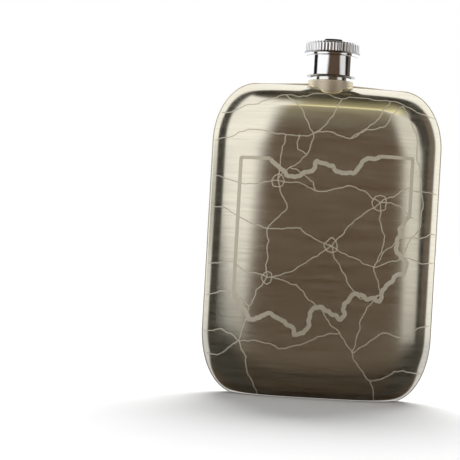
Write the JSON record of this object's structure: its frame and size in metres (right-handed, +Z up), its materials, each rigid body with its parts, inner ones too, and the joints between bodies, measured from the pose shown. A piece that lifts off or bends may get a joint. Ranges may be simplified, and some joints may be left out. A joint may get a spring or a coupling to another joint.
{
  "type": "hip flask",
  "caption": "Pillow-shaped metal hip flask of two welded half shells, with a short threaded neck and a chromed screw cap with a ribbed grip ring.",
  "frame": {"origin": "middle of the flat base, on the surface that the flask stands on", "axes": "+Z up along the neck, +X to the right seen from the front, front panel towards -Y"},
  "size_m": [0.086, 0.0256, 0.134],
  "materials": {
    "shell": "horizontally brushed, pewter bronze tint",
    "weld": "satin, ground flush",
    "collar": "satin, turned",
    "spout": "satin, turned",
    "cap": "polished",
    "liner": "turned, nickel-washed",
    "washer": "soft, matte"
  },
  "bodies": {
    "flask": {"front_shell": "shell", "back_shell": "shell", "seam_weld": "weld", "neck_collar": "collar", "neck_weld": "weld", "threaded_spout": "spout"},
    "washer": {"seal_washer": "washer"},
    "cap": {"cap_shell": "cap", "grip_ring": "cap", "cap_top_disc": "cap", "thread_liner": "liner"}
  },
  "joints": [
    {"name": "cap_lift", "type": "slide", "parent": "flask", "child": "washer", "axis": [0, 0, 1], "range_m": [0, 0.016]},
    {"name": "cap_turn", "type": "hinge", "parent": "washer", "child": "cap", "pos_m": [0, 0, 0.125], "axis": [0, 0, 1], "range_deg": [0, 2880]}
  ],
  "couplings": [
    {"joint": "cap_lift", "follows": "cap_turn", "m_per_rad": 0.0003183}
  ]
}
